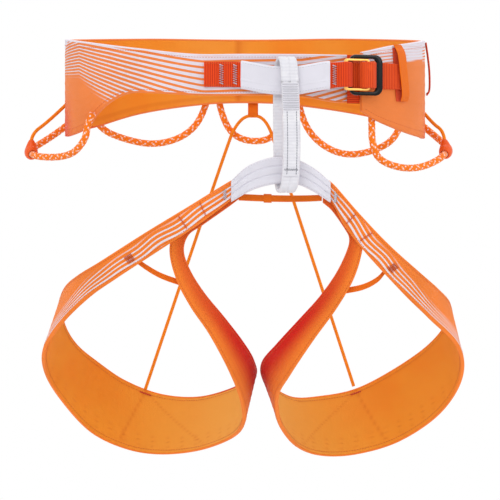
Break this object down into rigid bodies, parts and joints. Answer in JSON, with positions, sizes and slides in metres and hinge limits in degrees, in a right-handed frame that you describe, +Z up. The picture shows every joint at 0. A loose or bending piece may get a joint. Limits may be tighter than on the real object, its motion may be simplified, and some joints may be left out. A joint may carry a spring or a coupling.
{
  "type": "climbing harness",
  "caption": "Sit harness: laminated waist belt with double-back buckle, tie-in sleeves, belay loop, padded leg loops and rope gear loops.",
  "frame": {"origin": "centre of the waist opening, at half the height of the belt's front", "axes": "+Z up towards the chest, -Y the front with the belay loop, +X towards the viewer's right"},
  "size_m": [0.3808, 0.2249, 0.3701],
  "materials": {
    "striped_laminate": "satin",
    "strand_fibre": "satin",
    "lining": "matte",
    "red_webbing": "satin",
    "orange_elastic": "matte",
    "white_cloth": "matte",
    "white_webbing": "satin",
    "dark_thread": "matte",
    "orange_thread": "matte",
    "orange_cord": "matte",
    "tracer_rope": "matte",
    "edge_tape": "matte",
    "moulded_orange": "matte",
    "black_anodised": "satin",
    "gold_anodised": "satin"
  },
  "bodies": {
    "waist_belt": {"buckle_backing_tape": "red_webbing", "buckle_inner_frame": "gold_anodised", "gear_loop_sockets": "lining", "leg_link_strap": "orange_elastic", "leg_link_tab": "orange_elastic", "lower_tie_in_sleeve": "white_cloth", "lower_tie_in_webbing": "red_webbing", "rear_tab": "orange_elastic", "riser_cord": "orange_cord", "strap_keeper_front": "orange_elastic", "strap_keeper_side": "orange_elastic", "tie_in_webbing": "red_webbing", "upper_tie_in_sleeve": "white_cloth", "waist_belt_bottom_binding": "edge_tape", "waist_belt_liner": "lining", "waist_belt_shell": "striped_laminate", "waist_belt_strands": "strand_fibre", "waist_belt_top_binding": "edge_tape", "waist_strap": "red_webbing", "webbing_bar_tacks": "dark_thread"},
    "left_leg_loop": {"left_leg_bar_tacks": "orange_thread", "left_leg_bottom_binding": "edge_tape", "left_leg_bridge_elastic": "orange_elastic", "left_leg_liner": "lining", "left_leg_shell": "striped_laminate", "left_leg_strands": "strand_fibre", "left_leg_top_binding": "edge_tape"},
    "right_leg_loop": {"right_leg_bar_tacks": "orange_thread", "right_leg_bottom_binding": "edge_tape", "right_leg_bridge_elastic": "orange_elastic", "right_leg_liner": "lining", "right_leg_shell": "striped_laminate", "right_leg_strands": "strand_fibre", "right_leg_top_binding": "edge_tape"},
    "belay_loop": {"belay_loop_splice": "white_webbing", "belay_loop_stitching": "dark_thread", "belay_loop_webbing": "white_webbing"},
    "gear_loop_front_left": {"gear_rope_front_left": "tracer_rope", "separator_tether_left": "orange_cord"},
    "gear_loop_front_right": {"gear_rope_front_right": "tracer_rope", "separator_tether_right": "orange_cord"},
    "gear_loop_rear_left": {"gear_rope_rear_left": "tracer_rope"},
    "gear_loop_rear_right": {"gear_rope_rear_right": "tracer_rope"},
    "haul_loop": {"haul_loop_rope": "tracer_rope"},
    "separator_left": {"gear_separator_left": "moulded_orange"},
    "separator_right": {"gear_separator_right": "moulded_orange"},
    "buckle_outer": {"buckle_outer_frame": "black_anodised"}
  },
  "joints": [
    {"name": "left_leg_swing", "type": "hinge", "parent": "waist_belt", "child": "left_leg_loop", "pos_m": [-0.0115, -0.095, -0.101], "axis": [1, 0, 0], "range_deg": [-10, 22], "stiffness_Nm_per_rad": 1.6},
    {"name": "right_leg_swing", "type": "hinge", "parent": "waist_belt", "child": "right_leg_loop", "pos_m": [0.0715, -0.095, -0.101], "axis": [1, 0, 0], "range_deg": [-10, 22], "stiffness_Nm_per_rad": 1.6},
    {"name": "belay_loop_slide", "type": "slide", "parent": "waist_belt", "child": "belay_loop", "axis": [1, 0, 0], "range_m": [-0.001, 0.003]},
    {"name": "gear_loop_front_left_lift", "type": "hinge", "parent": "waist_belt", "child": "gear_loop_front_left", "pos_m": [-0.12164, -0.06629, -0.0419], "axis": [-0.2756, 0.9609, 0.0267], "range_deg": [0, 50], "deforming": ["separator_tether_left"]},
    {"name": "gear_loop_front_right_lift", "type": "hinge", "parent": "waist_belt", "child": "gear_loop_front_right", "pos_m": [0.1109, -0.0734, -0.0469], "axis": [-0.3422, -0.9379, -0.058], "range_deg": [0, 50], "deforming": ["separator_tether_right"]},
    {"name": "gear_loop_rear_left_lift", "type": "hinge", "parent": "waist_belt", "child": "gear_loop_rear_left", "pos_m": [-0.13409, 0.06336, -0.032], "axis": [0.9277, 0.3389, 0.1564], "range_deg": [0, 50]},
    {"name": "gear_loop_rear_right_lift", "type": "hinge", "parent": "waist_belt", "child": "gear_loop_rear_right", "pos_m": [0.1374, 0.05993, -0.034], "axis": [0.9009, -0.3861, -0.1981], "range_deg": [0, 50]},
    {"name": "haul_loop_lift", "type": "hinge", "parent": "waist_belt", "child": "haul_loop", "pos_m": [-0.02417, 0.10073, -0.013], "axis": [0.9999, -0.0142, 0], "range_deg": [0, 50]},
    {"name": "separator_left_travel", "type": "hinge", "parent": "gear_loop_front_left", "child": "separator_left", "pos_m": [-0.1578, 0.00412, -0.05985], "axis": [-0.2387, -0.3034, 0.9225], "range_deg": [-7, 7]},
    {"name": "separator_right_travel", "type": "hinge", "parent": "gear_loop_front_right", "child": "separator_right", "pos_m": [0.138, 0.00649, -0.06277], "axis": [-0.0258, 0.4185, -0.9079], "range_deg": [-7, 7]},
    {"name": "buckle_frame_tilt", "type": "hinge", "parent": "waist_belt", "child": "buckle_outer", "pos_m": [0.08779, -0.09781, -0.0047], "axis": [0, 0, -1], "range_deg": [0, 12]}
  ]
}
